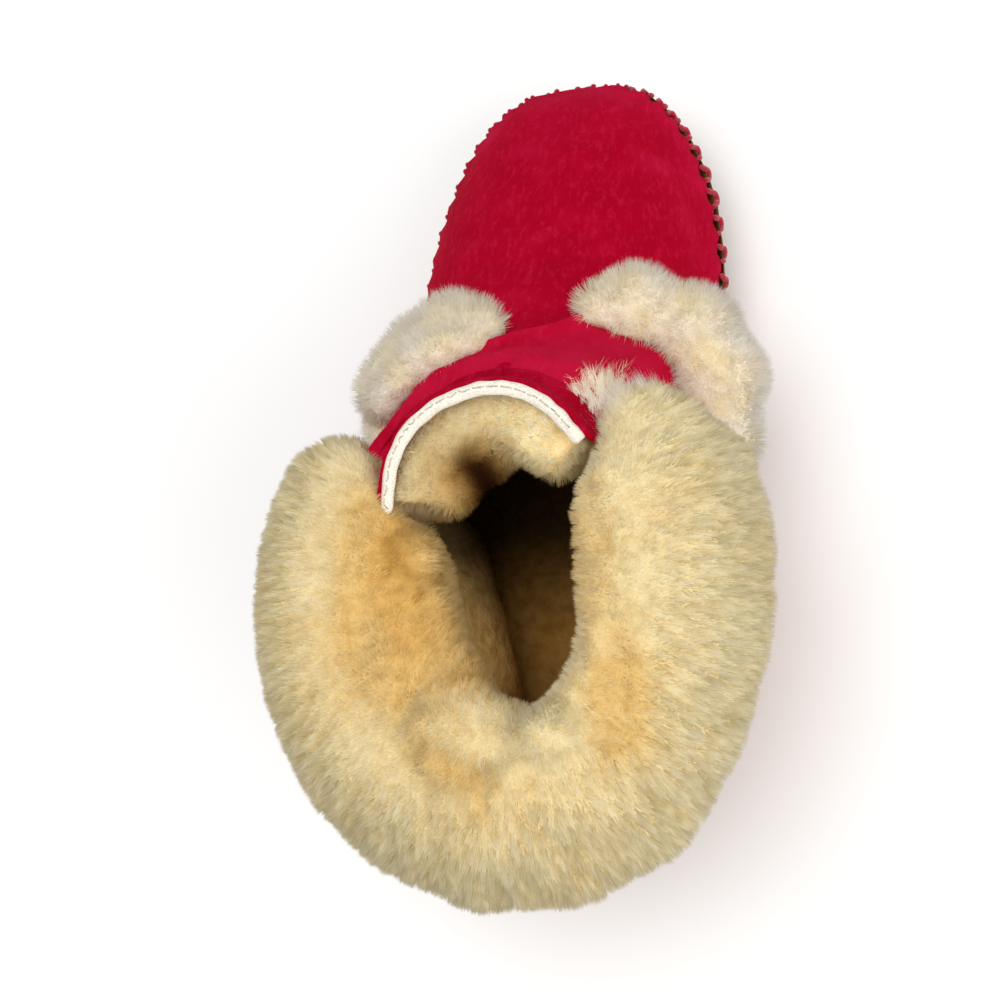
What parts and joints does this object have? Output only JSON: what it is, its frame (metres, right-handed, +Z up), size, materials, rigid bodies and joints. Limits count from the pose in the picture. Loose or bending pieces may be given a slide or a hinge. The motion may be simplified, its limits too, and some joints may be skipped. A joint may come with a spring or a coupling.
{
  "type": "bootie slipper",
  "caption": "Left ankle-high shearling bootie slipper: red suede upper, tan moccasin bottom with whip-stitched edge, grey rubber sole and a deep turned-down wool cuff.",
  "frame": {"origin": "on the floor under the middle of the heel", "axes": "+Y to the toe, +Z up, +X to the inner (medial) side of the left foot"},
  "size_m": [0.1602, 0.2949, 0.1269],
  "materials": {
    "rubber_grey": "matt, pebbled",
    "suede_tan": "matt nap",
    "suede_red": "matt nap",
    "wool_insole": "wool pile",
    "wool_cream": "long wool pile",
    "wool_white": "long wool pile",
    "binding_white": "matt"
  },
  "bodies": {
    "root": {"outsole": "rubber_grey", "sole_wrap": "suede_tan", "insole": "wool_insole", "upper": "suede_red", "instep_band": "suede_red", "backstay": "suede_red", "tongue": "suede_red", "tongue_binding": "binding_white", "tongue_fleece": "wool_cream", "cuff": "wool_cream", "fleece_trim_medial": "wool_white", "fleece_trim_lateral": "wool_white"}
  },
  "joints": []
}
